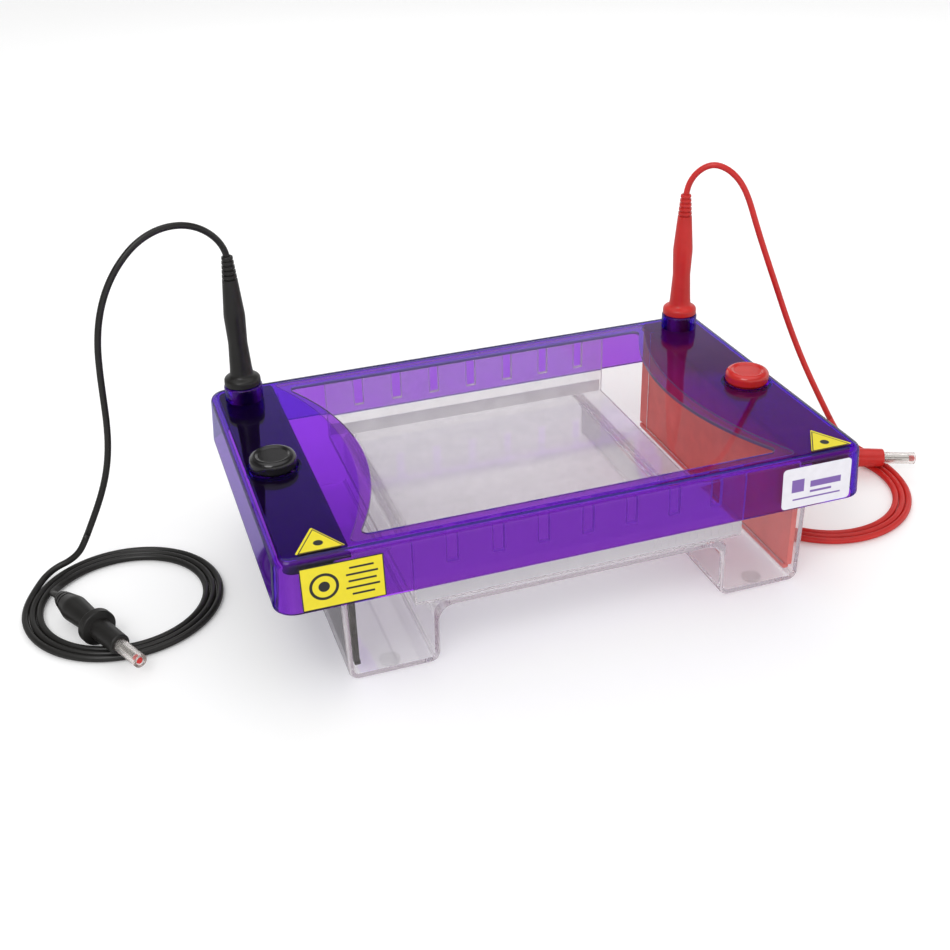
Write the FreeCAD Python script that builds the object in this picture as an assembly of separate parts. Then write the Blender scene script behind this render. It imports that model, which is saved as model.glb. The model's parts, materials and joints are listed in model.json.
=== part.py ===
import FreeCAD, Part
import math
import os

# Gel electrophoresis tank, in millimetres. +Z is up and z = 0 is the bench.
# +X runs from the cathode (black) end to the anode (red) end, and -Y is the front.
# Everything is drawn about the middle of the lid. FRAME_SHIFT then puts the origin on the bench
# under the middle of the whole footprint, leads included.

FRAME_SHIFT = 11.71

# ---- lid ----
LID_LENGTH = 348.0
LID_WIDTH = 221.0
LID_TOP = 87.3
SKIRT_BOTTOM = 55.3
LID_WALL = 3.0
LID_DRAFT = 2.0
LID_CORNER = 12.0
LID_TOP_EDGE = 5.0
LID_BOTTOM_EDGE = 1.0
LID_UNDERSIDE = LID_TOP - LID_WALL

# ---- clear window in the lid: straight long sides, ends bowed inwards ----
WINDOW_HALF_LENGTH = 125.0
WINDOW_HALF_WIDTH = 94.5
WINDOW_WAIST = 99.5
WINDOW_CORNER = 4.0
LEDGE = 7.5
PANE_RIM = 0.8
GLUE = 0.1

# ---- tank ----
TANK_TOP = 83.0
TANK_END_TOP = 79.8
TANK_HALF_TOP = 139.4
TANK_HALF_FOOT = 138.2
TANK_HALF_WIDTH = 105.2
TANK_WALL = 3.0
TANK_EDGE = 2.6
FOOT_HEIGHT = 1.2
LEG_INNER = 86.2
ARCH_HEIGHT = 36.7
ARCH_FILLET = 9.0
LEG_FILLET = 6.0
END_CUT_FROM = 131.0
PLATFORM = ARCH_HEIGHT + TANK_WALL
BUMPER_X = 113.0
BUMPER_Y = 93.0
BUMPER_RADIUS = 6.0

# ---- gel tray ----
TRAY_HALF_LENGTH = 98.5
TRAY_HALF_WIDTH = 100.8
TRAY_BASE = 3.5
TRAY_WALL = 3.0
TRAY_TOP = 82.4
TRAY_BOTTOM = PLATFORM + 0.15
SLOT_COUNT = 7
SLOT_PITCH = 26.1
SLOT_FIRST = -76.5
SLOT_WIDTH = 6.5
SLOT_FLOOR = 64.0
RULER_HEIGHT = 9.0
RULER_THICKNESS = 0.7

# ---- electrode cassettes (dimensions are distances from the middle of the tank) ----
PANEL_INNER = 131.4
PANEL_OUTER = 134.7
PANEL_HALF_WIDTH = 101.0
PANEL_BOTTOM = 11.5
FLANGE_OUTER = 166.8
FLANGE_HALF_WIDTH = 103.4
FLANGE_TOP = LID_UNDERSIDE - 0.1
FLANGE_BOTTOM = TANK_END_TOP + 0.1
LIP_BOTTOM = 76.6
LIP_INNER = 141.0
LIP_THICKNESS = 2.4
RAIL_BOTTOM = 8.0
RAIL_TOP = 10.6
WIRE_RADIUS = 0.25
PEG_X = 133.0
PEG_Y = (-96.0, 0.0, 96.0)
PEG_RADIUS = 0.8
PEG_DEPTH = 4.0

# ---- lead collars and plugs, and lid buttons ----
LEAD_X = 152.0
LEAD_Y = 89.0
COLLAR_RADIUS = 11.9
COLLAR_BORE = 8.0
COLLAR_TOP = 97.0
PIN_RADIUS = 2.0
BUTTON_X = 152.0
BUTTON_Y = -6.0
BUTTON_RADIUS = 13.6
BUTTON_TOP = 94.9
BUTTON_TRAVEL = 3.4
STEM_BOTTOM = 77.9
CUP_RADIUS = 10.9
CUP_BORE = 9.4
CUP_FLOOR = 73.5
CLIP_BOTTOM = 79.8
CLIP_THICKNESS = 0.9
WELL_RADIUS = 14.3
WELL_FLOOR = 82.7
WELL_WALL = 1.5
STEM_RADIUS = 6.0

# ---- stickers ----
STICKER_THICKNESS = 0.15
STICKER_GAP = 0.03
TRIANGLE_SIDE = 26.6
TRIANGLE_BACK = -80.0
TRIANGLE_X = (-147.0, 152.4)
LABEL_WIDTH = 44.4
LABEL_HEIGHT = 25.4
YELLOW_LABEL_X = -138.0
WHITE_LABEL_X = 140.4

# ---- lead plug in the lid ----
POST_BOTTOM = 71.5
POST_TOP = 99.0
SPIGOT_BOTTOM = 85.8
SOCKET_BOTTOM = 86.2
SOCKET_TOP = 109.5
SOCKET_RADIUS = 3.2
GRIP_TOP = 181.0
RELIEF_BOTTOM = 166.4
RELIEF_RIBS = 5
RELIEF_PITCH = 2.9
LEAD_START = 169.0

# ---- leads ----
CABLE_RADIUS = 2.0
COIL_PITCH = 4.15
BENCH_GAP = 0.2
SLEEVE_RADIUS = 4.0
SLEEVE_GUIDE_RADIUS = 3.7
PLUG_HEIGHT = 11.0
PLUG_FLANGE_AT = 42.7
PLUG_REACH = 39.0
PLUG_TURN = 53.0
PLUG_FLANGE_THICKNESS = 5.0
PLUG_FLANGE_RADIUS = 10.7
BARREL_END = 68.0
SLEEVE_BORE_FROM = 42.0
SLEEVE_TRAVEL = 14.0
SPRING_SOLID_LENGTH = 5.0
SLEEVE_BACK = SLEEVE_BORE_FROM + SPRING_SOLID_LENGTH + SLEEVE_TRAVEL
SLEEVE_SHOULDER = 70.0
SLEEVE_END = 89.0
PLUG_PIN_BACK = 32.3
PLUG_PIN_END = 84.9
CABLE_SPLIT = 24.0
CABLE_ARC_TOLERANCE = 0.1

# ---- coil springs ----
SPRING_POINTS = 16
SPRING_ARC_TOLERANCE = 0.02

Z_AXIS = FreeCAD.Vector(0, 0, 1)
X_AXIS = FreeCAD.Vector(1, 0, 0)
ORIGIN = FreeCAD.Vector(0, 0, 0)


def vector(x, y, z):
    return FreeCAD.Vector(x, y, z)


def block(x0, x1, y0, y1, z0, z1):
    """A box between two corners."""
    return Part.makeBox(x1 - x0, y1 - y0, z1 - z0, vector(x0, y0, z0))


def rod(radius, start, end):
    """A cylinder between two points."""
    along = end - start
    return Part.makeCylinder(radius, along.Length, start, along)


def disc(radius, x, y, z0, z1):
    """An upright cylinder."""
    return Part.makeCylinder(radius, z1 - z0, vector(x, y, z0))


def ring(outer, inner, x, y, z0, z1):
    """An upright tube."""
    return disc(outer, x, y, z0, z1).cut(disc(inner, x, y, z0 - 1, z1 + 1))


def outline(corners, place):
    """A closed wire through (u, v, radius) corners, each rounded by its radius.

    place turns (u, v) into a point.
    """
    edges = []
    count = len(corners)
    ends = []
    for i in range(count):
        u, v, radius = corners[i]
        before = corners[i - 1]
        after = corners[(i + 1) % count]
        here = FreeCAD.Vector(u, v, 0)
        back = (FreeCAD.Vector(before[0], before[1], 0) - here).normalize()
        on = (FreeCAD.Vector(after[0], after[1], 0) - here).normalize()
        if radius == 0:
            ends.append((here, here, None))
            continue
        half = back.getAngle(on) / 2
        cut = radius / math.tan(half)
        bisector = (back + on).normalize()
        centre = here + bisector * (radius / math.sin(half))
        middle = centre - bisector * radius
        ends.append((here + back * cut, here + on * cut, middle))
    for i in range(count):
        start, finish, middle = ends[i]
        if middle is not None:
            edges.append(Part.Arc(place(start), place(middle), place(finish)).toShape())
        following = ends[(i + 1) % count][0]
        if (following - finish).Length > 1e-6:
            edges.append(Part.makeLine(place(finish), place(following)))
    return Part.Wire(edges)


def turned(corners, x=0.0, y=0.0):
    """A solid of revolution about the upright axis at (x, y), from (radius, height, rounding) corners."""
    wire = outline(corners, lambda p: vector(x + p.x, y, p.y))
    return Part.Face(wire).revolve(vector(x, y, 0), Z_AXIS, 360)


def profile_slab(corners, half_width):
    """An outline in the X-Z plane, extruded evenly to both sides in Y."""
    wire = outline(corners, lambda p: vector(p.x, -half_width, p.y))
    return Part.Face(wire).extrude(vector(0, 2 * half_width, 0))


def rounded_rectangle(half_x, half_y, radius, z):
    corners = [
        (half_x, half_y, radius),
        (-half_x, half_y, radius),
        (-half_x, -half_y, radius),
        (half_x, -half_y, radius),
    ]
    return outline(corners, lambda p: vector(p.x, p.y, z))


def fillet_at_height(solid, z, radius):
    """Rounds every edge that lies flat at height z."""
    flat = [e for e in solid.Edges if abs(e.BoundBox.ZMin - z) < 1e-4 and abs(e.BoundBox.ZMax - z) < 1e-4]
    return solid.makeFillet(radius, flat)


def upright_edges(solid, least_height):
    """Edges that run nearly straight up for at least a given height."""
    return [e for e in solid.Edges
            if e.BoundBox.ZLength > least_height and e.BoundBox.XLength < 3 and e.BoundBox.YLength < 3]


def mirrored(shape):
    """The same piece at the cathode end."""
    return shape.mirror(ORIGIN, X_AXIS)


def round_bar(curve, radius, tolerance):
    """A round bar along a smooth curve. The curve becomes a run of tangent arcs, so every bend is plain."""
    start = curve.FirstParameter
    path = Part.Wire([arc.toShape() for arc in curve.toBiArcs(tolerance)])
    section = Part.Wire(Part.makeCircle(radius, curve.value(start), curve.tangent(start)[0]))
    return path.makePipeShell([section], True, False)


def spring(x, y, z0, z1, mean_radius, wire_radius, turns):
    """A coil spring about an upright axis, between two heights."""
    count = turns * SPRING_POINTS
    rise = z1 - z0 - 2 * wire_radius
    points = []
    for i in range(count + 1):
        angle = 2 * math.pi * i / SPRING_POINTS
        height = z0 + wire_radius + rise * i / count
        points.append(vector(x + mean_radius * math.cos(angle), y + mean_radius * math.sin(angle), height))
    curve = Part.BSplineCurve()
    curve.interpolate(points)
    return round_bar(curve, wire_radius, SPRING_ARC_TOLERANCE)


def cable(points, split, radius):
    """A round cable through the points, cut into two lengths at the point nearest to split."""
    curve = Part.BSplineCurve()
    curve.interpolate(points)
    cut = curve.parameter(split)
    lengths = []
    for first, last in ((curve.FirstParameter, cut), (cut, curve.LastParameter)):
        part = curve.copy()
        part.segment(first, last)
        lengths.append(round_bar(part, radius, CABLE_ARC_TOLERANCE))
    return lengths


# ---- lid ----

def window_prism(grow, z0, z1):
    """The window's outline, grown outwards by grow, between two heights."""
    x = WINDOW_HALF_LENGTH + grow
    y = WINDOW_HALF_WIDTH + grow
    waist = WINDOW_WAIST + grow
    edges = [
        Part.makeLine(vector(-x, y, z0), vector(x, y, z0)),
        Part.Arc(vector(x, y, z0), vector(waist, 0, z0), vector(x, -y, z0)).toShape(),
        Part.makeLine(vector(x, -y, z0), vector(-x, -y, z0)),
        Part.Arc(vector(-x, -y, z0), vector(-waist, 0, z0), vector(-x, y, z0)).toShape(),
    ]
    prism = Part.Face(Part.Wire(edges)).extrude(vector(0, 0, z1 - z0))
    return prism.makeFillet(WINDOW_CORNER, [e for e in prism.Edges if e.BoundBox.DiagonalLength <= z1 - z0 + 1e-3])


def lid_skin(inset, bottom, top, corner, top_edge):
    """The lid's drafted body, moved inwards by inset, with its top edge rounded."""
    lean = LID_DRAFT * (top - bottom) / (LID_TOP - SKIRT_BOTTOM)
    half_x = LID_LENGTH / 2 - inset
    half_y = LID_WIDTH / 2 - inset
    lower = rounded_rectangle(half_x, half_y, corner, bottom)
    upper = rounded_rectangle(half_x - lean, half_y - lean, corner - lean, top)
    return fillet_at_height(Part.makeLoft([lower, upper], True, True), top, top_edge)


def lid_shell():
    body = lid_skin(0, SKIRT_BOTTOM, LID_TOP, LID_CORNER, LID_TOP_EDGE)
    body = fillet_at_height(body, SKIRT_BOTTOM, LID_BOTTOM_EDGE)
    inner_corner = LID_CORNER - LID_WALL
    hollow = lid_skin(LID_WALL, SKIRT_BOTTOM, LID_UNDERSIDE, inner_corner, LID_TOP_EDGE - LID_WALL)
    below = rounded_rectangle(LID_LENGTH / 2 - LID_WALL, LID_WIDTH / 2 - LID_WALL, inner_corner, SKIRT_BOTTOM - 1)
    mouth = Part.Face(below).extrude(vector(0, 0, 1.0))
    body = body.cut(hollow.fuse(mouth))
    for side in (-1, 1):
        collar = disc(COLLAR_RADIUS, side * LEAD_X, LEAD_Y, LID_UNDERSIDE, COLLAR_TOP)
        collar = fillet_at_height(collar, COLLAR_TOP, 1.2)
        well = disc(WELL_RADIUS + WELL_WALL, side * BUTTON_X, BUTTON_Y, WELL_FLOOR - WELL_WALL, LID_TOP - 0.5)
        body = body.fuse([collar, well])
    for side in (-1, 1):
        body = body.cut(disc(COLLAR_BORE, side * LEAD_X, LEAD_Y, LID_UNDERSIDE - 2, COLLAR_TOP + 2))
        body = body.cut(disc(WELL_RADIUS, side * BUTTON_X, BUTTON_Y, WELL_FLOOR, LID_TOP + 2))
        body = body.cut(disc(STEM_RADIUS + 0.2, side * BUTTON_X, BUTTON_Y, WELL_FLOOR - 3, LID_TOP))
    body = body.cut(window_prism(LEDGE, LID_TOP - PANE_RIM - GLUE, LID_TOP + 1))
    body = body.cut(window_prism(0, LID_UNDERSIDE - 1, LID_TOP + 1))
    return body


def lid_window():
    """A stepped clear pane: its rim lies on the lid's ledge and its middle fills the opening."""
    rim = window_prism(LEDGE - GLUE, LID_TOP - PANE_RIM, LID_TOP)
    middle = window_prism(-GLUE, LID_UNDERSIDE, LID_TOP - PANE_RIM)
    return rim.fuse(middle).removeSplitter()


def triangle_sticker(x):
    front = TRIANGLE_BACK - TRIANGLE_SIDE * math.sqrt(3) / 2
    half = TRIANGLE_SIDE / 2
    corners = [(x, TRIANGLE_BACK, 0.6), (x - half, front, 0.6), (x + half, front, 0.6)]
    wire = outline(corners, lambda p: vector(p.x, p.y, LID_TOP + STICKER_GAP))
    return Part.Face(wire).extrude(vector(0, 0, STICKER_THICKNESS))


def front_sticker(centre_x, corner):
    """A label on the front of the skirt, leaning back with it."""
    half = LABEL_WIDTH / 2
    low = 1.4
    high = low + LABEL_HEIGHT
    corners = [(-half, low, corner), (half, low, corner), (half, high, corner), (-half, high, corner)]
    wire = outline(corners, lambda p: vector(p.x, 0, p.y))
    label = Part.Face(wire).extrude(vector(0, -STICKER_THICKNESS, 0))
    lean = math.degrees(math.atan(LID_DRAFT / (LID_TOP - SKIRT_BOTTOM)))
    label.rotate(ORIGIN, X_AXIS, -lean)
    label.translate(vector(centre_x, -LID_WIDTH / 2 - STICKER_GAP, SKIRT_BOTTOM))
    return label


# ---- tank ----

def mirrored_outline(half):
    """A symmetric outline from the corners of its +X half, listed from the top inwards."""
    return half + [(-u, v, radius) for u, v, radius in reversed(half)]


def tank_body():
    """A saddle-shaped trough: two buffer chambers stand as legs either side of an arch that carries the gel."""
    wall = TANK_WALL
    outside = mirrored_outline([
        (TANK_HALF_TOP, TANK_TOP, 0),
        (TANK_HALF_FOOT, FOOT_HEIGHT, LEG_FILLET),
        (LEG_INNER, FOOT_HEIGHT, LEG_FILLET),
        (LEG_INNER - 0.8, ARCH_HEIGHT, ARCH_FILLET),
    ])
    inside = mirrored_outline([
        (TANK_HALF_TOP - wall, TANK_TOP + 1, 0),
        (TANK_HALF_FOOT - wall, FOOT_HEIGHT + wall, LEG_FILLET - wall),
        (LEG_INNER + wall, FOOT_HEIGHT + wall, LEG_FILLET - wall),
        (LEG_INNER - 0.8 + wall, PLATFORM, ARCH_FILLET - wall),
    ])
    body = profile_slab(outside, TANK_HALF_WIDTH)
    body = body.makeFillet(TANK_EDGE, outline_edges(body))
    body = body.cut(profile_slab(inside, TANK_HALF_WIDTH - wall))
    for side in (-1, 1):
        near, far = sorted((side * END_CUT_FROM, side * (TANK_HALF_TOP + 5)))
        end_rim = block(near, far, -TANK_HALF_WIDTH - 1, TANK_HALF_WIDTH + 1, TANK_END_TOP, TANK_TOP + 1)
        body = body.cut(end_rim)
    return body.removeSplitter()


def outline_edges(body):
    """Edges that bound the two long faces, all but the open top's."""
    faces = [f for f in body.Faces if f.BoundBox.YLength < 0.01 and abs(f.BoundBox.YMax) > TANK_HALF_WIDTH - 0.01]
    return [e for f in faces for e in f.Edges if e.BoundBox.ZMin < TANK_TOP - 0.01]


def bumper_feet():
    """Four low domed feet under the corners of the legs."""
    foot = turned([(0, 0, 0), (BUMPER_RADIUS - 0.6, 0, 0.4), (BUMPER_RADIUS, FOOT_HEIGHT - 0.05, 0),
                   (0, FOOT_HEIGHT - 0.05, 0)])
    feet = []
    for x in (-BUMPER_X, BUMPER_X):
        for y in (-BUMPER_Y, BUMPER_Y):
            feet.append(foot.translated(vector(x, y, 0)))
    return Part.makeCompound(feet)


# ---- gel tray ----

def gel_tray():
    """An open-ended channel whose two side walls carry a row of comb slots."""
    tray = block(-TRAY_HALF_LENGTH, TRAY_HALF_LENGTH, -TRAY_HALF_WIDTH, TRAY_HALF_WIDTH, TRAY_BOTTOM, TRAY_TOP)
    inner = TRAY_HALF_WIDTH - TRAY_WALL
    above_base = TRAY_BOTTOM + TRAY_BASE
    tray = tray.cut(block(-TRAY_HALF_LENGTH - 1, TRAY_HALF_LENGTH + 1, -inner, inner, above_base, TRAY_TOP + 1))
    for i in range(SLOT_COUNT):
        x = SLOT_FIRST + i * SLOT_PITCH
        tray = tray.cut(block(x - SLOT_WIDTH / 2, x + SLOT_WIDTH / 2, -TRAY_HALF_WIDTH - 1, TRAY_HALF_WIDTH + 1,
                              SLOT_FLOOR, TRAY_TOP + 1))
    return tray


def tray_rulers():
    """A strip on the outside of each side wall, with a run of fine graduation ribs at its anode half."""
    strips = []
    first = 42.0
    spacing = 4.5
    for face in (-1, 1):
        y0, y1 = sorted((face * (TRAY_HALF_WIDTH + 0.05), face * (TRAY_HALF_WIDTH + RULER_THICKNESS)))
        low = TRAY_BOTTOM + 2
        strip = block(-TRAY_HALF_LENGTH + 1, TRAY_HALF_LENGTH - 1, y0, y1, low, low + RULER_HEIGHT)
        for i in range(13):
            x = first + i * spacing
            outer = face * (TRAY_HALF_WIDTH + RULER_THICKNESS)
            g0, g1 = sorted((outer - face * 0.35, outer + face))
            strip = strip.cut(block(x - 0.6, x + 0.6, g0, g1, TRAY_BOTTOM + 4, TRAY_BOTTOM + RULER_HEIGHT))
        strips.append(strip)
    return Part.makeCompound(strips)


# ---- electrode cassette, at the anode end ----

def cassette_frame():
    """An upside-down L: a panel hangs inside the tank's end wall and a flange reaches out over it."""
    panel = block(PANEL_INNER, PANEL_OUTER, -PANEL_HALF_WIDTH, PANEL_HALF_WIDTH, PANEL_BOTTOM, FLANGE_TOP)
    flange = block(PANEL_INNER, FLANGE_OUTER, -FLANGE_HALF_WIDTH, FLANGE_HALF_WIDTH, FLANGE_BOTTOM, FLANGE_TOP)
    frame = panel.fuse(flange).removeSplitter()
    bend = [e for e in frame.Edges if e.BoundBox.YLength > 150 and abs(e.CenterOfMass.x - PANEL_INNER) < 0.01
            and abs(e.CenterOfMass.z - FLANGE_TOP) < 0.01]
    frame = frame.makeFillet(3.0, bend)
    skirt = block(LIP_INNER, FLANGE_OUTER, -FLANGE_HALF_WIDTH, FLANGE_HALF_WIDTH, LIP_BOTTOM, FLANGE_BOTTOM)
    inner_y = FLANGE_HALF_WIDTH - LIP_THICKNESS
    inner_x = FLANGE_OUTER - LIP_THICKNESS
    skirt = skirt.cut(block(LIP_INNER - 1, inner_x, -inner_y, inner_y, LIP_BOTTOM - 1, FLANGE_BOTTOM + 1))
    frame = frame.fuse(skirt).removeSplitter()
    outer = [e for e in upright_edges(frame, 5) if e.CenterOfMass.x > FLANGE_OUTER - 0.01]
    frame = frame.makeFillet(6.0, outer)
    frame = frame.fuse(disc(CUP_RADIUS, BUTTON_X, BUTTON_Y, CUP_FLOOR - 1.5, FLANGE_TOP))
    well_room = disc(WELL_RADIUS + WELL_WALL + 0.4, BUTTON_X, BUTTON_Y, WELL_FLOOR - WELL_WALL - 0.4, FLANGE_TOP + 1)
    frame = frame.cut(well_room)
    frame = frame.cut(disc(CUP_BORE, BUTTON_X, BUTTON_Y, CUP_FLOOR, FLANGE_TOP + 1))
    frame = frame.cut(disc(PIN_RADIUS + 0.1, LEAD_X, LEAD_Y, LIP_BOTTOM - 5, FLANGE_TOP + 1))
    groove = block(PANEL_INNER - 1, LEAD_X - PIN_RADIUS - 0.3, LEAD_Y - 0.5, LEAD_Y + 0.5, FLANGE_TOP - 1.2, FLANGE_TOP + 1)
    frame = frame.cut(groove)
    for y in PEG_Y:
        frame = frame.cut(disc(PEG_RADIUS + 0.05, PEG_X, y, PANEL_BOTTOM - 1, PANEL_BOTTOM + PEG_DEPTH + 0.2))
    return frame.removeSplitter()


def wire_rail():
    """The bar below the panel. Its pegs go up into the panel, and the wire lies along its inner edge."""
    rail = block(PANEL_INNER - 0.8, PANEL_OUTER - 0.8, -99.0, 99.0, RAIL_BOTTOM, RAIL_TOP)
    for y in PEG_Y:
        rail = rail.fuse(disc(PEG_RADIUS, PEG_X, y, RAIL_TOP - 0.5, PANEL_BOTTOM + PEG_DEPTH))
    return rail.removeSplitter()


def electrode_wire():
    """The platinum wire: along the rail, up the panel, then along the groove to the contact pin."""
    x = PANEL_INNER - WIRE_RADIUS - 0.2
    low = RAIL_TOP + WIRE_RADIUS + 0.1
    high = FLANGE_TOP - 0.8
    points = [
        vector(x, -98.0, low),
        vector(x, LEAD_Y, low),
        vector(x, LEAD_Y, high),
        vector(LEAD_X - PIN_RADIUS - 0.8, LEAD_Y, high),
    ]
    wire = rod(WIRE_RADIUS, points[0], points[1])
    for start, end in zip(points[1:], points[2:]):
        wire = wire.fuse([rod(WIRE_RADIUS, start, end), Part.makeSphere(WIRE_RADIUS, start)])
    return wire


def contact_pin():
    """The post that the lid's socket slides down over. Its shoulder stands on the flange."""
    corners = [
        (0, POST_BOTTOM, 0),
        (PIN_RADIUS, POST_BOTTOM, 0.4),
        (PIN_RADIUS, FLANGE_TOP + 0.05, 0),
        (4.0, FLANGE_TOP + 0.05, 0),
        (4.0, FLANGE_TOP + 1.2, 0.3),
        (PIN_RADIUS, FLANGE_TOP + 1.2, 0),
        (PIN_RADIUS, POST_TOP, 1.2),
        (0, POST_TOP, 0),
    ]
    return turned(corners, LEAD_X, LEAD_Y)


def pin_washer():
    return ring(5.0, PIN_RADIUS + 0.1, LEAD_X, LEAD_Y, FLANGE_BOTTOM - 0.85, FLANGE_BOTTOM - 0.05)


def pin_nut():
    """A hexagon nut under the flange."""
    across_corners = 4.6
    top = FLANGE_BOTTOM - 0.9
    corners = []
    for i in range(6):
        angle = math.radians(60 * i)
        corners.append((LEAD_X + across_corners * math.cos(angle), LEAD_Y + across_corners * math.sin(angle), 0.2))
    wire = outline(corners, lambda p: vector(p.x, p.y, top - 3.2))
    nut = Part.Face(wire).extrude(vector(0, 0, 3.2))
    return nut.cut(disc(PIN_RADIUS + 0.08, LEAD_X, LEAD_Y, top - 5, top + 1))


# ---- lid button, at the anode end ----

def button_cap():
    """A dished round cap on a hollow stem. The cap sinks into the lid's well when it is pressed."""
    rim = WELL_FLOOR + BUTTON_TRAVEL + 0.05
    head = BUTTON_TOP - 3.6
    corners = [
        (0, BUTTON_TOP - 0.9, 0),
        (8.5, BUTTON_TOP - 0.9, 0.6),
        (9.8, BUTTON_TOP, 1.0),
        (BUTTON_RADIUS, BUTTON_TOP, 3.2),
        (BUTTON_RADIUS, rim + 2.2, 1.0),
        (BUTTON_RADIUS - 1.6, rim, 0.8),
        (BUTTON_RADIUS - 2.2, rim, 0),
        (BUTTON_RADIUS - 2.2, head, 0.6),
        (STEM_RADIUS, head, 0),
        (STEM_RADIUS, STEM_BOTTOM, 0.8),
        (0, STEM_BOTTOM, 0),
    ]
    cap = turned(corners, BUTTON_X, BUTTON_Y)
    groove_top = CLIP_BOTTOM + CLIP_THICKNESS + 0.1
    return cap.cut(ring(STEM_RADIUS + 2, STEM_RADIUS - 1.0, BUTTON_X, BUTTON_Y, CLIP_BOTTOM - 0.1, groove_top))


def button_clip():
    """A split ring in the stem's groove, below the well's floor."""
    top = CLIP_BOTTOM + CLIP_THICKNESS
    clip = ring(CUP_BORE - 0.8, STEM_RADIUS - 0.9, BUTTON_X, BUTTON_Y, CLIP_BOTTOM, top)
    gap = 3.6
    return clip.cut(block(BUTTON_X - 10, BUTTON_X, BUTTON_Y - gap, BUTTON_Y + gap, CLIP_BOTTOM - 1, top + 1))


def button_spring():
    return spring(BUTTON_X, BUTTON_Y, WELL_FLOOR + 0.05, BUTTON_TOP - 3.65, 8.4, 0.4, 4)


# ---- lead, lid end, at the anode end ----

def lead_grip():
    """The plug that stands in the collar: spigot, flange, long waisted grip and a ribbed strain relief."""
    corners = [
        (0, SPIGOT_BOTTOM, 0),
        (COLLAR_BORE - 0.1, SPIGOT_BOTTOM, 0.6),
        (COLLAR_BORE - 0.1, COLLAR_TOP + 0.05, 0),
        (11.4, COLLAR_TOP + 0.05, 1.0),
        (11.2, COLLAR_TOP + 4.6, 2.2),
        (7.4, COLLAR_TOP + 6.6, 2.5),
        (6.9, 108.0, 6.0),
        (5.9, 125.0, 30.0),
        (6.6, 143.0, 40.0),
        (4.7, 166.0, 8.0),
        (3.4, GRIP_TOP, 0.6),
        (0, GRIP_TOP, 0),
    ]
    grip = turned(corners, LEAD_X, LEAD_Y)
    for i in range(RELIEF_RIBS):
        z = RELIEF_BOTTOM + RELIEF_PITCH * i
        root = 3.5 - 0.16 * i
        grip = grip.cut(ring(8.0, root, LEAD_X, LEAD_Y, z, z + 1.3))
    grip = grip.cut(disc(SOCKET_RADIUS + 0.1, LEAD_X, LEAD_Y, SPIGOT_BOTTOM - 1, SOCKET_TOP + 0.5))
    return grip.cut(disc(CABLE_RADIUS + 0.25, LEAD_X, LEAD_Y, LEAD_START - 0.5, GRIP_TOP + 1))


def lead_socket():
    """The sprung brass tube inside the spigot that takes the contact pin."""
    socket = ring(SOCKET_RADIUS, PIN_RADIUS + 0.05, LEAD_X, LEAD_Y, SOCKET_BOTTOM, SOCKET_TOP)
    cap = disc(SOCKET_RADIUS, LEAD_X, LEAD_Y, SOCKET_TOP - 2.5, SOCKET_TOP)
    slot = block(LEAD_X - 4, LEAD_X + 4, LEAD_Y - 0.3, LEAD_Y + 0.3, SOCKET_BOTTOM - 1, SOCKET_BOTTOM + 12)
    return socket.fuse(cap).removeSplitter().cut(slot)


# ---- lead, bench end ----

def plug_axis_turned(corners):
    """A solid of revolution along +X at the origin, from (distance, radius, rounding) corners."""
    wire = outline(corners, lambda p: vector(p.x, 0, p.y))
    return Part.Face(wire).revolve(ORIGIN, X_AXIS, 360)


def x_tube(outer, inner, x0, x1):
    tube = rod(outer, vector(x0, 0, 0), vector(x1, 0, 0))
    return tube.cut(rod(inner, vector(x0 - 1, 0, 0), vector(x1 + 1, 0, 0)))


def plug_body():
    """Boot, finger flange and barrel. The barrel is bored for the sliding sleeve."""
    flange = PLUG_FLANGE_AT - PLUG_FLANGE_THICKNESS / 2
    corners = [
        (0, 0, 0),
        (0, 3.6, 1.0),
        (4, 5.2, 3.0),
        (17, 8.0, 12.0),
        (36, 6.6, 8.0),
        (flange - 0.7, 6.6, 0),
        (flange, PLUG_FLANGE_RADIUS, 0.8),
        (flange + PLUG_FLANGE_THICKNESS, PLUG_FLANGE_RADIUS, 0.8),
        (flange + PLUG_FLANGE_THICKNESS + 0.8, 6.5, 0),
        (BARREL_END, 6.1, 1.2),
        (BARREL_END, 0, 0),
    ]
    body = plug_axis_turned(corners)
    for i in range(3):
        body = body.cut(x_tube(9.0, 4.4 + 0.5 * i, 2.0 + 3.2 * i, 3.2 + 3.2 * i))
    body = body.cut(rod(CABLE_RADIUS + 0.5, vector(-1, 0, 0), vector(14, 0, 0)))
    body = body.cut(rod(PIN_RADIUS + 0.05, vector(PLUG_PIN_BACK - 0.3, 0, 0), vector(SLEEVE_BORE_FROM + 1, 0, 0)))
    return body.cut(rod(SLEEVE_RADIUS + 0.15, vector(SLEEVE_BORE_FROM, 0, 0), vector(BARREL_END + 1, 0, 0)))


def plug_pin():
    """The 4 mm pin, with a slot that lets its end spring."""
    pin = plug_axis_turned([(PLUG_PIN_BACK, 0, 0), (PLUG_PIN_BACK, PIN_RADIUS, 0.3),
                            (PLUG_PIN_END, PIN_RADIUS, 0.3), (PLUG_PIN_END, 0, 0)])
    return pin.cut(block(62, 80, -PIN_RADIUS - 1, PIN_RADIUS + 1, -0.3, 0.3))


def plug_tip():
    """The insulated end of the pin, just short of the sleeve's mouth."""
    back = PLUG_PIN_END + 0.1
    front = SLEEVE_END - 0.2
    return plug_axis_turned([(back, 0, 0), (back, PIN_RADIUS, 0.2), (front, PIN_RADIUS, 1.2), (front, 0, 0)])


def plug_spring():
    """Pushes the sleeve out over the pin."""
    coil = spring(0, 0, SLEEVE_BORE_FROM + 0.1, SLEEVE_BACK - 0.1, 3.2, 0.28, 8)
    coil.rotate(ORIGIN, vector(0, 1, 0), 90)
    return coil


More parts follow.
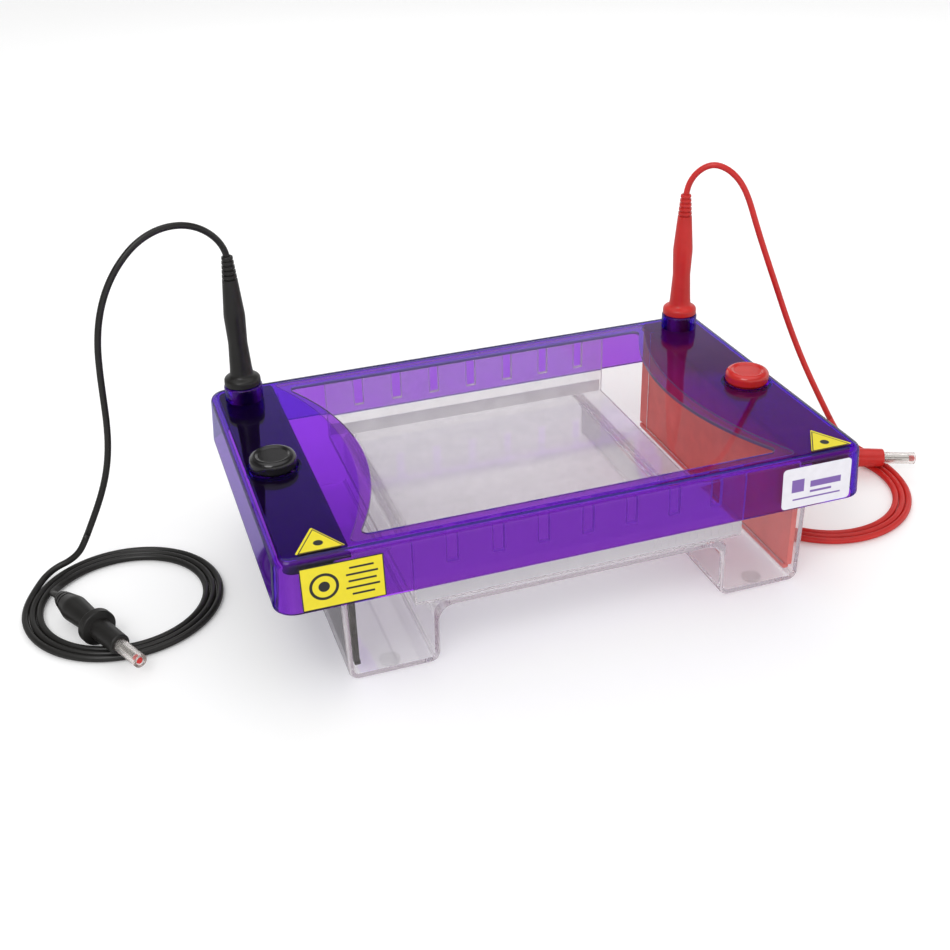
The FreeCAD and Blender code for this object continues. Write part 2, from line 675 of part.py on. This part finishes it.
def plug_sleeve():
    """The clear sleeve that covers the pin and slides back into the barrel on its thinner back end."""
    bore = 2.35
    corners = [
        (SLEEVE_BACK, bore, 0),
        (SLEEVE_BACK, SLEEVE_GUIDE_RADIUS, 0.3),
        (SLEEVE_SHOULDER, SLEEVE_GUIDE_RADIUS, 0),
        (SLEEVE_SHOULDER, SLEEVE_RADIUS, 0),
        (SLEEVE_END, SLEEVE_RADIUS, 0.5),
        (SLEEVE_END, bore, 0.4),
    ]
    return plug_axis_turned(corners)


class Lead:
    """Where one lead lies on the bench.

    turn is +1 when the cable winds anticlockwise seen from above, and -1 when it winds clockwise.
    plug_bearing is the direction, from the coil's centre, in which the plug's flange lies.
    """

    def __init__(self, centre, turn, radius, stretch, stretch_angle, start, turns, plug_bearing, hanging):
        self.centre = centre
        self.turn = turn
        self.radius = radius
        self.stretch = stretch
        self.stretch_angle = stretch_angle
        self.start = start
        self.turns = turns
        self.plug_bearing = plug_bearing
        self.hanging = hanging

    def coil_point(self, angle, wound, height):
        """A point of the flat coil, after wound turns from the outside."""
        radius = self.radius - COIL_PITCH * wound
        across = math.radians(angle - self.stretch_angle)
        reach = radius * (1 + self.stretch * math.cos(across) ** 2)
        a = math.radians(angle)
        return vector(self.centre[0] + reach * math.cos(a), self.centre[1] + reach * math.sin(a), height)

    def heading(self):
        """The direction in which the plug points, in degrees."""
        return self.plug_bearing + self.turn * PLUG_TURN

    def plug_point(self, distance):
        """A point on the plug's axis, at a distance from the end of its boot."""
        b = math.radians(self.plug_bearing)
        h = math.radians(self.heading())
        step = distance - PLUG_FLANGE_AT
        x = self.centre[0] + PLUG_REACH * math.cos(b) + step * math.cos(h)
        y = self.centre[1] + PLUG_REACH * math.sin(b) + step * math.sin(h)
        return vector(x, y, PLUG_HEIGHT)

    def place(self, shape):
        """Moves a piece modelled along +X at the origin on to the plug's axis."""
        moved = shape.copy()
        moved.rotate(ORIGIN, Z_AXIS, self.heading())
        moved.translate(self.plug_point(0))
        return moved

    def path(self):
        """From the lid plug over the top, down to the bench, round the coil, and up into the far plug's boot."""
        points = list(self.hanging)
        step = 20.0
        count = int(self.turns * 360 / step)
        lift = {0: 3.8, 1: 1.0, count - 1: 0.4, count: 1.9}
        for i in range(count + 1):
            height = CABLE_RADIUS + BENCH_GAP + lift.get(i, 0)
            points.append(self.coil_point(self.start + self.turn * step * i, step * i / 360, height))
        boot = [self.plug_point(distance) for distance in (-5.0, 1.0, 7.0, 13.0)]
        boot[0].z -= 1.0
        return points + boot


def hanging(side, out, slope, heights):
    """Points of a cable that leaves the lid plug sideways, in one upright plane."""
    points = []
    for d, z in zip(out, heights):
        points.append(vector(side * (LEAD_X + d * math.cos(slope)), LEAD_Y - d * math.sin(slope), z))
    return points


def leads():
    black_slope = math.radians(12.5)
    black_out = (0, 0, 0.4, 6, 23.5, 44, 64, 81, 87, 92, 112, 122)
    black_heights = (LEAD_START, 175, 182, 193.5, 204.5, 203.5, 190, 160, 112, 68, CABLE_SPLIT, 11.5)
    black = Lead((-246.0, 17.3), 1, 58.4, 0.0, 0, 130.0, 3.06, 242.6,
                 hanging(-1, black_out, black_slope, black_heights))
    red_slope = math.radians(30.8)
    red_out = (0, 0, 0.3, 3, 16.7, 28, 45, 62, 82, 109, 117)
    red_heights = (LEAD_START, 175, 182, 191, 201, 197, 168, 124, 76, CABLE_SPLIT, 12)
    red = Lead((204.6, -19.5), -1, 60.0, 0.08, 55.0, 30.0, 2.76, 29.6,
               hanging(1, red_out, red_slope, red_heights))
    return {"black": black, "red": red}


def build():
    parts = {
        "tank_body": tank_body(),
        "bumper_feet": bumper_feet(),
        "gel_tray": gel_tray(),
        "tray_rulers": tray_rulers(),
        "lid_shell": lid_shell(),
        "lid_window": lid_window(),
        "triangle_stickers": Part.makeCompound([triangle_sticker(x) for x in TRIANGLE_X]),
        "yellow_label": front_sticker(YELLOW_LABEL_X, 0.6),
        "white_label": front_sticker(WHITE_LABEL_X, 2.5),
    }
    at_each_end = {
        "cassette_frame": cassette_frame(),
        "wire_rail": wire_rail(),
        "electrode_wire": electrode_wire(),
        "contact_pin": contact_pin(),
        "pin_washer": pin_washer(),
        "pin_nut": pin_nut(),
        "button_cap": button_cap(),
        "button_clip": button_clip(),
        "button_spring": button_spring(),
    }
    for name, shape in at_each_end.items():
        parts["anode_" + name] = shape
        parts["cathode_" + name] = mirrored(shape)
    for colour, lead in leads().items():
        lid_end = {"lead_grip": lead_grip(), "lead_socket": lead_socket()}
        for name, shape in lid_end.items():
            parts[colour + "_" + name] = shape if colour == "red" else mirrored(shape)
        bench_end = {
            "plug_body": plug_body(),
            "plug_pin": plug_pin(),
            "plug_tip": plug_tip(),
            "plug_spring": plug_spring(),
            "plug_sleeve": plug_sleeve(),
        }
        for name, shape in bench_end.items():
            parts[colour + "_" + name] = lead.place(shape)
        split = [p for p in lead.hanging if p.z == CABLE_SPLIT][0]
        lid_cable, bench_cable = cable(lead.path(), split, CABLE_RADIUS)
        parts[colour + "_lid_cable"] = lid_cable
        parts[colour + "_bench_cable"] = bench_cable
    return parts


def main():
    os.makedirs("parts", exist_ok=True)
    for name, shape in build().items():
        shape.translated(vector(FRAME_SHIFT, 0, 0)).exportStep(os.path.join("parts", name + ".step"))


main()
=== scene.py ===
import json
import math

import bpy
import bmesh
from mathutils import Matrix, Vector


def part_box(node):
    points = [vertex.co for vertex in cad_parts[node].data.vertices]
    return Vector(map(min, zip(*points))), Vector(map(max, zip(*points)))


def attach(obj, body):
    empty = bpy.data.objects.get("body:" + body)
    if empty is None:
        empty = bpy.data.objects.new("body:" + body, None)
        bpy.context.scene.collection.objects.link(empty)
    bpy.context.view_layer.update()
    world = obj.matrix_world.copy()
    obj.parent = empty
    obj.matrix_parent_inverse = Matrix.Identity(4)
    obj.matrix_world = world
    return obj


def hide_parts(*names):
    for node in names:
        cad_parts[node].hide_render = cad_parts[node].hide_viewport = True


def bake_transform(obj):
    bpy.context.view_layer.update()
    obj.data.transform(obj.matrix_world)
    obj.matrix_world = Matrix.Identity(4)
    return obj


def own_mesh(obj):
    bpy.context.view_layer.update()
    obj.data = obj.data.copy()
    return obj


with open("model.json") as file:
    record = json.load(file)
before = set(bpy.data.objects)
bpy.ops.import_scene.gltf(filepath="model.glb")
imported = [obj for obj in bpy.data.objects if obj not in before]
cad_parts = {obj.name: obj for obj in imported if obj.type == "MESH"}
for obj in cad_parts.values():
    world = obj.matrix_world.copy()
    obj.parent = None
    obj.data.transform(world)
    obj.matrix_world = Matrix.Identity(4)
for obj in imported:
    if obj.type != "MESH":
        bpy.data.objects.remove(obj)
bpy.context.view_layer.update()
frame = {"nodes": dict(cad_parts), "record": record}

LID_LOW, LID_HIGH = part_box("lid_shell")
LID_MIDDLE = (LID_LOW.x + LID_HIGH.x) / 2
ACRYLIC_IOR = 1.49
TRAPPED_DEPTH = 5.5
TRIANGLE_SIDE = 0.0266
SHEET_NODES = ("cathode_cassette_frame", "cathode_wire_rail", "anode_cassette_frame", "anode_wire_rail")


# ---------------------------------------------------------------- shader graphs

class Graph:
    """A material's node tree, built by short calls."""

    def __init__(self, name):
        self.material = bpy.data.materials.new(name)
        self.material.use_nodes = True
        self.tree = self.material.node_tree
        self.tree.nodes.clear()
        self.output = self.tree.nodes.new("ShaderNodeOutputMaterial")

    def node(self, kind, inputs=None, **settings):
        made = self.tree.nodes.new("ShaderNode" + kind)
        for name, value in settings.items():
            setattr(made, name, value)
        for name, value in (inputs or {}).items():
            self.feed(made, name, value)
        return made

    def feed(self, made, name, value):
        socket = made.inputs[name]
        if isinstance(value, bpy.types.NodeSocket):
            self.tree.links.new(value, socket)
        elif isinstance(value, (tuple, list)) and socket.type == "RGBA":
            socket.default_value = tuple(value) + (1.0,) * (4 - len(value))
        else:
            socket.default_value = value

    def math(self, operation, a, b=0.0):
        return self.node("Math", {0: a, 1: b}, operation=operation).outputs[0]

    def noise(self, scale, detail=2.0, roughness=0.5):
        where = self.node("TexCoord").outputs["Object"]
        inputs = {"Vector": where, "Scale": scale, "Detail": detail, "Roughness": roughness}
        return self.node("TexNoise", inputs).outputs["Fac"]

    def ramp(self, value, low, high, out_low, out_high):
        """value from low to high becomes out_low to out_high, and stays there outside."""
        made = self.node("MapRange", {"Value": value, "From Min": low, "From Max": high,
                                      "To Min": out_low, "To Max": out_high})
        return made.outputs[0]

    def blend_colours(self, factor, a, b):
        made = self.node("MixRGB", {"Fac": factor, "Color1": a, "Color2": b})
        return made.outputs[0]

    def bump(self, height, strength, distance):
        made = self.node("Bump", {"Height": height, "Strength": strength, "Distance": distance})
        return made.outputs[0]

    def surface(self, shader):
        self.tree.links.new(shader, self.output.inputs["Surface"])
        return self.material

    def volume(self, shader):
        self.tree.links.new(shader, self.output.inputs["Volume"])


def clear_plastic(name, absorption, roughness, haze, haze_colour, ripple=0.0, dimming=0.90, sawn=None,
                  edge_glow=0.0, painted_wall_glow=(0.55, 0.52, 0.55)):
    """Solid transparent plastic.

    absorption is per metre for red, green and blue. haze is the share of light that the surface
    scatters, as a scuffed or moulded face does. Shadow and diffuse rays pass straight through,
    so light reaches the inside, and each face keeps a share dimming of them. Shadow rays lose the
    same light in every colour, because the shadow in soft studio light is nearly grey. sawn gives
    1 on cut faces, which are frosted white. edge_glow is the share scattered on rounded edges, where
    light piped along a tinted sheet comes out. A ray that has met many faces is trapped in a wall, and
    there the surface shows a painted glow: an emission of the given glow colour stands in for the
    light piped along the wall.
    """
    g = Graph(name)
    wear = g.noise(35.0, 4.0)
    rough = g.ramp(wear, 0.35, 0.75, roughness, roughness * 2.2 + 0.01)
    inputs = {"Base Color": (1, 1, 1), "Roughness": rough, "IOR": ACRYLIC_IOR,
              "Transmission Weight": 1.0}
    if ripple:
        inputs["Normal"] = g.bump(g.noise(9.0, 1.0), ripple, 0.002)
    glass = g.node("BsdfPrincipled", inputs).outputs[0]
    scatter = g.node("BsdfPrincipled", {"Base Color": haze_colour, "Roughness": 0.6}).outputs[0]
    through = g.node("BsdfTranslucent", {"Color": haze_colour}).outputs[0]
    milky = g.node("MixShader", {0: 0.5, 1: scatter, 2: through}).outputs[0]
    share = g.ramp(g.noise(60.0, 5.0, 0.6), 0.3, 0.8, haze * 0.6, haze * 1.6)
    if edge_glow:
        normal = g.node("SeparateXYZ", {0: g.node("NewGeometry").outputs["Normal"]})
        sizes = [g.math("ABSOLUTE", normal.outputs[i]) for i in range(3)]
        squarest = g.math("MAXIMUM", g.math("MAXIMUM", sizes[0], sizes[1]), sizes[2])
        share = g.math("MAXIMUM", share, g.ramp(squarest, 0.75, 0.985, edge_glow, 0.0))
    if sawn:
        share = g.math("MAXIMUM", share, g.math("MULTIPLY", sawn(g), 0.8))
    seen = g.node("MixShader", {0: share, 1: glass, 2: milky}).outputs[0]
    path = g.node("LightPath")
    # painted glow: a ray trapped in a wall takes this emission in place of the light piped along it
    piped = g.node("Emission", {"Color": painted_wall_glow, "Strength": 1.0}).outputs[0]
    trapped = g.math("GREATER_THAN", path.outputs["Ray Depth"], TRAPPED_DEPTH)
    seen = g.node("MixShader", {0: trapped, 1: seen, 2: piped}).outputs[0]
    passing = g.math("MAXIMUM", path.outputs["Is Shadow Ray"], path.outputs["Is Diffuse Ray"])
    straight = g.node("BsdfTransparent", {"Color": (dimming,) * 3}).outputs[0]
    g.surface(g.node("MixShader", {0: passing, 1: seen, 2: straight}).outputs[0])
    density = max(absorption) * 1.02
    colour = [1 - a / density for a in absorption]
    grey = 1 - 0.45 * sum(absorption) / len(absorption) / density
    tint = g.blend_colours(path.outputs["Is Shadow Ray"], colour, (grey, grey, grey))
    g.volume(g.node("VolumeAbsorption", {"Color": tint, "Density": density}).outputs[0])
    return g.material


def thin_pane(name):
    """A thin flat pane. Its upper face mirrors, its sides are slightly frosted, the rest lets light by."""
    g = Graph(name)
    geometry = g.node("NewGeometry")
    height = g.node("SeparateXYZ", {0: geometry.outputs["True Normal"]}).outputs[2]
    outer_side = g.math("SUBTRACT", 1.0, geometry.outputs["Backfacing"])
    rough = g.ramp(g.noise(35.0, 4.0), 0.35, 0.75, 0.01, 0.04)
    straight = g.node("BsdfTransparent", {"Color": (0.965, 0.955, 0.965)}).outputs[0]
    mirror = g.node("BsdfGlossy", {"Color": (1, 1, 1), "Roughness": rough}).outputs[0]
    frost = g.node("BsdfTranslucent", {"Color": (0.80, 0.74, 0.88)}).outputs[0]
    facing_up = g.math("MULTIPLY", outer_side, g.ramp(height, 0.8, 0.95, 0.0, 1.0))
    sideways = g.ramp(g.math("ABSOLUTE", height), 0.1, 0.4, 0.35, 0.0)
    share = g.math("MULTIPLY", g.node("Fresnel", {"IOR": ACRYLIC_IOR}).outputs[0], facing_up)
    sides = g.node("MixShader", {0: sideways, 1: straight, 2: frost}).outputs[0]
    return g.surface(g.node("MixShader", {0: share, 1: sides, 2: mirror}).outputs[0])


def moulded(name, colour, roughness, coat, grain, gloss=0.5):
    """Opaque moulded plastic or rubber: a fine grain, slightly uneven colour and uneven gloss."""
    g = Graph(name)
    mottle = g.noise(90.0, 4.0)
    dark = tuple(c * 0.92 for c in colour)
    light = tuple(min(1.0, c * 1.06 + 0.002) for c in colour)
    tint = g.blend_colours(g.ramp(mottle, 0.3, 0.7, 0.0, 1.0), dark, light)
    rough = g.ramp(g.noise(25.0, 3.0), 0.3, 0.7, roughness * 0.8, roughness * 1.25)
    normal = g.bump(g.noise(1800.0, 3.0, 0.6), grain, 0.0002)
    shader = g.node("BsdfPrincipled", {"Base Color": tint, "Roughness": rough, "Coat Weight": coat,
                                       "Coat Roughness": 0.08, "Normal": normal,
                                       "Specular IOR Level": gloss})
    return g.surface(shader.outputs[0])


def metal(name, colour, roughness):
    g = Graph(name)
    rough = g.ramp(g.noise(400.0, 3.0), 0.3, 0.7, roughness * 0.7, roughness * 1.5)
    normal = g.bump(g.noise(2500.0, 2.0), 0.08, 0.0002)
    shader = g.node("BsdfPrincipled", {"Base Color": colour, "Metallic": 1.0, "Roughness": rough,
                                       "Normal": normal})
    return g.surface(shader.outputs[0])


# ---------------------------------------------------------------- materials

def tray_cuts(g):
    """1 on the tray's sawn faces: its ends, the sides of the comb slots and the tops of its walls."""
    normal = g.node("SeparateXYZ", {0: g.node("NewGeometry").outputs["True Normal"]})
    height = g.node("SeparateXYZ", {0: g.node("TexCoord").outputs["Object"]}).outputs[2]
    floor_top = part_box("gel_tray")[0].z + 0.005
    sideways = g.ramp(g.math("ABSOLUTE", normal.outputs[0]), 0.85, 0.95, 0.0, 1.0)
    upward = g.ramp(normal.outputs[2], 0.85, 0.95, 0.0, 1.0)
    high = g.ramp(height, floor_top, floor_top + 0.001, 0.0, 1.0)
    return g.math("MAXIMUM", sideways, g.math("MULTIPLY", upward, high))


def inside(g, value, low, high, soft=0.00008):
    """1 where value lies between low and high, with an edge as soft as print."""
    above = g.ramp(value, low - soft, low + soft, 0.0, 1.0)
    below = g.ramp(value, high - soft, high + soft, 1.0, 0.0)
    return g.math("MULTIPLY", above, below)


def printed(name, ground, ink, print_mask):
    """A vinyl sticker. print_mask draws on (graph, x, y, z) and gives 1 where there is ink."""
    g = Graph(name)
    place = g.node("SeparateXYZ", {0: g.node("TexCoord").outputs["Object"]})
    mask = print_mask(g, place.outputs[0], place.outputs[1], place.outputs[2])
    dull = tuple(c * 0.94 for c in ground)
    paper = g.blend_colours(g.ramp(g.noise(200.0, 3.0), 0.3, 0.7, 0.0, 1.0), dull, ground)
    colour = g.blend_colours(mask, paper, ink)
    rough = g.ramp(g.noise(60.0, 2.0), 0.3, 0.7, 0.28, 0.42)
    normal = g.bump(g.noise(900.0, 2.0), 0.05, 0.0002)
    shader = g.node("BsdfPrincipled", {"Base Color": colour, "Roughness": rough, "Normal": normal,
                                       "Coat Weight": 0.25, "Coat Roughness": 0.2})
    return g.surface(shader.outputs[0])


def union(g, masks):
    total = masks[0]
    for mask in masks[1:]:
        total = g.math("MAXIMUM", total, mask)
    return total


def yellow_print(g, x, y, z):
    """A thin border, a ring with a dot at the left and a block of plain bars at the right."""
    low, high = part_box("yellow_label")
    middle = (low.z + high.z) / 2
    edge = 0.0006
    across_middle = inside(g, x, low.x + edge, high.x - edge)
    up_middle = inside(g, z, low.z + edge, high.z - edge)
    border = g.math("SUBTRACT", 1.0, g.math("MULTIPLY", across_middle, up_middle))
    dx = g.math("SUBTRACT", x, low.x + 0.0122)
    dz = g.math("SUBTRACT", z, middle)
    distance = g.math("SQRT", g.math("ADD", g.math("MULTIPLY", dx, dx), g.math("MULTIPLY", dz, dz)))
    ring = inside(g, distance, 0.0062, 0.0078)
    dot = inside(g, distance, -1.0, 0.0030)
    bars = []
    lengths = (0.013, 0.017, 0.015, 0.018, 0.012)
    bar_middle = low.x + 0.0325
    half_height = 0.0006
    spacing = 0.0039
    for i, length in enumerate(lengths):
        at = high.z - 0.0048 - spacing * i
        along = inside(g, x, bar_middle - length / 2, bar_middle + length / 2)
        bars.append(g.math("MULTIPLY", along, inside(g, z, at - half_height, at + half_height)))
    return union(g, [border, ring, dot] + bars)


def white_print(g, x, y, z):
    """A plain square, two plain bars and a thin rule, as distances in from the left and down from the top."""
    low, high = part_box("white_label")
    square = (0.006, 0.014, 0.0075, 0.0155)
    thick_bar = (0.018, 0.038, 0.0098, 0.0138)
    thin_bar = (0.018, 0.032, 0.0158, 0.0172)
    rule = (0.007, 0.038, 0.0196, 0.0206)
    masks = []
    for x0, x1, z0, z1 in (square, thick_bar, thin_bar, rule):
        across = inside(g, x, low.x + x0, low.x + x1)
        masks.append(g.math("MULTIPLY", across, inside(g, z, high.z - z1, high.z - z0)))
    return union(g, masks)


def triangle_print(g, x, y, z):
    """A dark outline just inside the edge and a plain disc in the middle of each triangle."""
    low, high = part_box("triangle_stickers")
    centre = high.y - TRIANGLE_SIDE / math.sqrt(3)
    inner = TRIANGLE_SIDE / (2 * math.sqrt(3)) - 0.0012
    masks = []
    for at in (low.x + TRIANGLE_SIDE / 2, high.x - TRIANGLE_SIDE / 2):
        dx = g.math("SUBTRACT", x, at)
        dy = g.math("SUBTRACT", y, centre)
        reach = None
        for degrees in (-90, 30, 150):
            a = math.radians(degrees)
            along = g.math("ADD", g.math("MULTIPLY", dx, math.cos(a)), g.math("MULTIPLY", dy, math.sin(a)))
            reach = along if reach is None else g.math("MAXIMUM", reach, along)
        masks.append(inside(g, reach, inner, inner + 0.0006))
        distance = g.math("SQRT", g.math("ADD", g.math("MULTIPLY", dx, dx), g.math("MULTIPLY", dy, dy)))
        masks.append(inside(g, distance, -1.0, 0.0026))
    return union(g, masks)


def make_materials():
    return {
        "clear_tank": clear_plastic("clear_tank", (3.0, 4.4, 3.4), 0.02, 0.02, (0.93, 0.91, 0.93), 0.1,
                                    edge_glow=0.75),
        "clear_tray": clear_plastic("clear_tray", (4.0, 5.5, 4.5), 0.06, 0.09, (0.93, 0.91, 0.93), 0.15,
                                    sawn=tray_cuts),
        # the lid's painted glow is violet where rays are trapped in its walls
        "purple_lid": clear_plastic("purple_lid", (330.0, 920.0, 68.0), 0.015, 0.008, (0.30, 0.01, 0.75),
                                    ripple=0.06, edge_glow=0.3, painted_wall_glow=(0.20, 0.005, 0.50)),
        "clear_window": thin_pane("clear_window"),
        "clear_sleeve": clear_plastic("clear_sleeve", (15.0, 25.0, 30.0), 0.08, 0.10, (0.93, 0.91, 0.88)),
        "bumper": clear_plastic("bumper", (30.0, 30.0, 28.0), 0.3, 0.3, (0.8, 0.8, 0.8)),
        "ruler_white": clear_plastic("ruler_white", (20.0, 20.0, 20.0), 0.3, 0.7, (0.97, 0.97, 0.98)),
        "black_plastic": moulded("black_plastic", (0.012, 0.011, 0.012), 0.2, 0.5, 0.05),
        "red_plastic": moulded("red_plastic", (0.62, 0.022, 0.018), 0.22, 0.5, 0.05),
        "black_sheet": moulded("black_sheet", (0.018, 0.010, 0.007), 0.45, 0.0, 0.05, gloss=0.2),
        "red_sheet": moulded("red_sheet", (0.80, 0.125, 0.105), 0.40, 0.0, 0.05, gloss=0.25),
        "black_lead": moulded("black_lead", (0.014, 0.013, 0.012), 0.38, 0.1, 0.12),
        "red_lead": moulded("red_lead", (0.62, 0.018, 0.014), 0.36, 0.15, 0.12),
        "nickel": metal("nickel", (0.72, 0.71, 0.68), 0.16),
        "brass": metal("brass", (0.8, 0.6, 0.3), 0.2),
        "platinum": metal("platinum", (0.8, 0.8, 0.8), 0.2),
        "spring_steel": metal("spring_steel", (0.6, 0.6, 0.62), 0.25),
        "white_label": printed("white_label", (0.86, 0.84, 0.90), (0.22, 0.12, 0.42), white_print),
        "yellow_label": printed("yellow_label", (0.86, 0.72, 0.01), (0.02, 0.02, 0.02), yellow_print),
        "yellow_triangles": printed("yellow_triangles", (0.86, 0.72, 0.01), (0.02, 0.02, 0.02),
                                    triangle_print),
    }


def paint(materials):
    """Every CAD node takes the material of its slot in the record.

    The triangles have a print of their own, and the cassettes are duller than the other moulded parts.
    """
    for entry in frame["record"]["subparts"]:
        node = frame["nodes"][entry["node"]]
        chosen = entry["material_slot"]
        if entry["node"] == "triangle_stickers":
            chosen = "yellow_triangles"
        if entry["node"] in SHEET_NODES:
            chosen = chosen.replace("plastic", "sheet")
        node.data.materials.clear()
        node.data.materials.append(materials[chosen])


# ---------------------------------------------------------------- leads

def whole_cable(colour, materials):
    """One cable from the lid plug to the far plug, in place of the two CAD lengths.
    """
    weld = 0.00002
    names = [colour + "_lid_cable", colour + "_bench_cable"]
    mesh = bmesh.new()
    for name in names:
        mesh.from_mesh(frame["nodes"][name].data)
    bmesh.ops.remove_doubles(mesh, verts=mesh.verts, dist=weld)
    joint_ring = {vertex for edge in mesh.edges if len(edge.link_faces) > 2 for vertex in edge.verts}
    inner_caps = [face for face in mesh.faces if joint_ring.issuperset(face.verts)]
    bmesh.ops.delete(mesh, geom=inner_caps, context="FACES_ONLY")
    data = bpy.data.meshes.new(colour + "_cable")
    mesh.to_mesh(data)
    mesh.free()
    for polygon in data.polygons:
        polygon.use_smooth = True
    cable = bpy.data.objects.new(colour + "_cable", data)
    bpy.context.scene.collection.objects.link(cable)
    data.materials.append(materials[colour + "_lead"])
    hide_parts(*names)
    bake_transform(cable)


# ---------------------------------------------------------------- springs

def live_spring(name, body, materials):
    """A copy of the spring in spring steel, carried by its body in place of the CAD node."""
    data = frame["nodes"][name].data.copy()
    spring = bpy.data.objects.new(name + "_live", data)
    bpy.context.scene.collection.objects.link(spring)
    data.materials.clear()
    data.materials.append(materials["spring_steel"])
    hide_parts(name)
    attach(spring, body)
    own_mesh(spring)


def live_springs(materials):
    for end in ("cathode", "anode"):
        live_spring(end + "_button_spring", "lid", materials)
    for colour in ("black", "red"):
        live_spring(colour + "_plug_spring", "tank", materials)


# ---------------------------------------------------------------- stage

def floor():
    """A plain white floor, which looks darker in the object's glossy faces than it does to the camera."""
    size = 8.0
    data = bpy.data.meshes.new("floor")
    corners = [(-size, -size, 0), (size, -size, 0), (size, size, 0), (-size, size, 0)]
    data.from_pydata(corners, [], [(0, 1, 2, 3)])
    made = bpy.data.objects.new("floor", data)
    bpy.context.scene.collection.objects.link(made)
    made.location.z = -0.0002  # just under the feet
    g = Graph("floor")
    path = g.node("LightPath")
    mirrored = g.math("SUBTRACT", path.outputs["Is Glossy Ray"], path.outputs["Is Transmission Ray"])
    white = g.blend_colours(mirrored, (0.9, 0.9, 0.9), (0.4, 0.4, 0.4))
    lift = g.ramp(mirrored, 0.0, 1.0, 0.16, 0.0)
    shade = g.node("BsdfPrincipled", {"Base Color": white, "Roughness": 0.7,
                                      "Emission Color": (1.0, 1.0, 1.0), "Emission Strength": lift})
    data.materials.append(g.surface(shade.outputs[0]))


def softbox(name, place, target, width, height, power, mirrored=True):
    """A studio light. One that is not mirrored lights the object but isn't seen in its glossy faces."""
    data = bpy.data.lights.new(name, "AREA")
    data.shape = "RECTANGLE"
    data.size = width
    data.size_y = height
    data.energy = power
    made = bpy.data.objects.new(name, data)
    made.location = place
    made.rotation_euler = (Vector(target) - Vector(place)).to_track_quat("-Z", "Y").to_euler()
    made.visible_glossy = mirrored
    bpy.context.scene.collection.objects.link(made)


def studio_sky():
    """An even white sky for lighting. Glossy faces mirror a shaped one, which is darker in a belt at mid
    height, as the lid's top shows, and darker to the left.
    """
    world = bpy.data.worlds.new("studio")
    bpy.context.scene.world = world
    world.use_nodes = True
    tree = world.node_tree
    tree.nodes.clear()
    where = tree.nodes.new("ShaderNodeTexCoord")
    split = tree.nodes.new("ShaderNodeSeparateXYZ")
    ramp = tree.nodes.new("ShaderNodeValToRGB")
    stops = ((0.0, 0.8), (0.36, 0.75), (0.43, 0.28), (0.56, 0.08), (0.74, 0.06), (0.88, 0.9), (1.0, 1.0))
    while len(ramp.color_ramp.elements) < len(stops):
        ramp.color_ramp.elements.new(0.5)
    for element, (at, level) in zip(ramp.color_ramp.elements, stops):
        element.position = at
        element.color = (level, level, level, 1.0)
    path = tree.nodes.new("ShaderNodeLightPath")
    even = tree.nodes.new("ShaderNodeMixRGB")
    even.inputs["Color1"].default_value = (0.86, 0.86, 0.86, 1.0)
    back = tree.nodes.new("ShaderNodeBackground")
    out = tree.nodes.new("ShaderNodeOutputWorld")
    tree.links.new(where.outputs["Generated"], split.inputs[0])
    tree.links.new(split.outputs["Z"], ramp.inputs[0])
    tree.links.new(path.outputs["Is Glossy Ray"], even.inputs["Fac"])
    side = tree.nodes.new("ShaderNodeMapRange")
    for name, value in {"From Min": -0.75, "From Max": -0.25, "To Min": 0.25, "To Max": 1.0}.items():
        side.inputs[name].default_value = value
    shaded = tree.nodes.new("ShaderNodeMixRGB")
    shaded.blend_type = "MULTIPLY"
    shaded.inputs["Fac"].default_value = 1.0
    tree.links.new(split.outputs["X"], side.inputs["Value"])
    tree.links.new(ramp.outputs["Color"], shaded.inputs["Color1"])
    tree.links.new(side.outputs[0], shaded.inputs["Color2"])
    tree.links.new(shaded.outputs[0], even.inputs["Color2"])
    tree.links.new(even.outputs[0], back.inputs["Color"])
    tree.links.new(back.outputs[0], out.inputs[0])


def lighting():
    studio_sky()
    middle = (LID_MIDDLE, 0, 0.06)
    softbox("key", (-0.9, -0.9, 1.5), middle, 0.9, 0.9, 9)
    softbox("back", (0.6, 1.3, 1.1), middle, 1.4, 0.7, 5, mirrored=False)


def camera():
    data = bpy.data.cameras.new("camera")
    data.lens = 48.28
    data.sensor_width = 36.0
    data.clip_start = 0.01
    made = bpy.data.objects.new("camera", data)
    made.location = (LID_MIDDLE - 0.2405, -0.6472, 0.4390)
    made.rotation_euler = [math.radians(a) for a in (60.396, 1.437, -18.886)]
    bpy.context.scene.collection.objects.link(made)
    bpy.context.scene.camera = made


def render_settings():
    scene = bpy.context.scene
    scene.view_settings.view_transform = "Standard"
    scene.cycles.max_bounces = 24
    scene.cycles.transmission_bounces = 20
    scene.cycles.transparent_max_bounces = 40


materials = make_materials()
paint(materials)
for colour in ("black", "red"):
    whole_cable(colour, materials)
live_springs(materials)
floor()
lighting()
camera()
render_settings()
